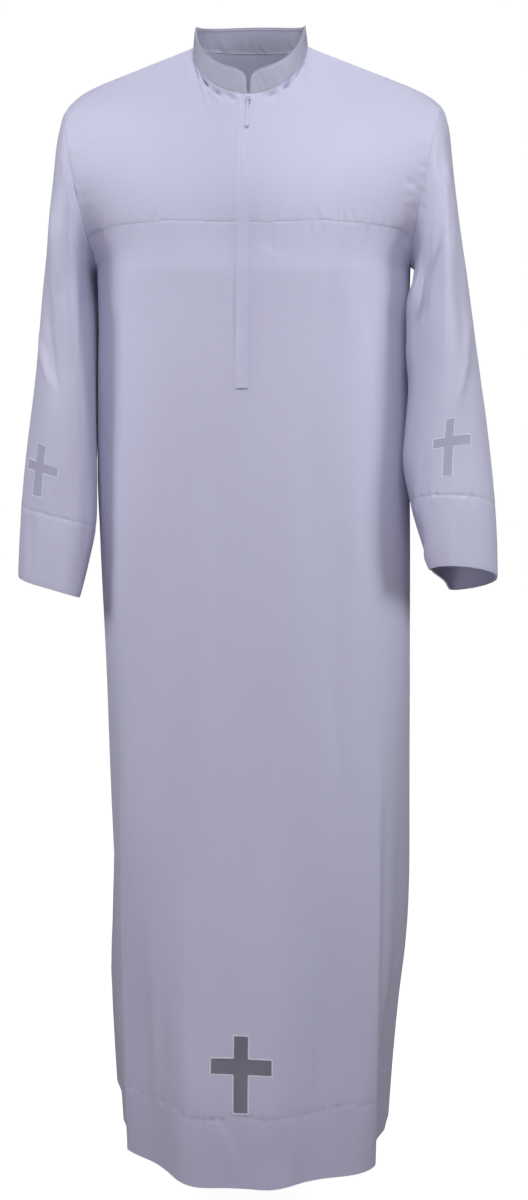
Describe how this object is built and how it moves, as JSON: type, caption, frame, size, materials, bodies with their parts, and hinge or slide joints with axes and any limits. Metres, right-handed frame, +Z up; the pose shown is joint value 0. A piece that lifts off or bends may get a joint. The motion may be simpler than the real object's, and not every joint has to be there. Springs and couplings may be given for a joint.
{
  "type": "alb",
  "caption": "Long white alb held open and hollow as if worn: stand collar, short front zip under a placket, set-in sleeves, sheer crosses let into cuffs and hem.",
  "frame": {"origin": "The middle of the neck, level with the foot of the collar at the shoulders, where the wearer's shoulders hold the alb", "axes": "+Z up, +X to the wearer's left, and the front with its zip faces -Y"},
  "size_m": [0.634, 0.4503, 1.4689],
  "materials": {
    "cloth": "smooth ironed polyester, soft sheen",
    "sheer_inset": "sheer organza over the dark inside",
    "zip_tape": "woven tape",
    "zip_enamel": "off-white enamel, satin"
  },
  "bodies": {
    "garment": {"yoke_left": "cloth", "yoke_right": "cloth", "front": "cloth", "back": "cloth", "sleeve_left": "cloth", "sleeve_right": "cloth", "collar": "cloth", "fly": "cloth", "zip_tape": "zip_tape", "cross_front": "sheer_inset", "cross_side_left": "sheer_inset", "cross_side_right": "sheer_inset", "cross_sleeve_left": "sheer_inset", "cross_sleeve_right": "sheer_inset", "zip_slider": "zip_enamel"},
    "pull": {"zip_pull": "zip_enamel"}
  },
  "joints": [
    {"name": "zip_pull_swing", "type": "hinge", "parent": "garment", "child": "pull", "pos_m": [0, -0.08247, -0.0519], "axis": [-1, 0, 0], "range_deg": [0, 150]}
  ]
}
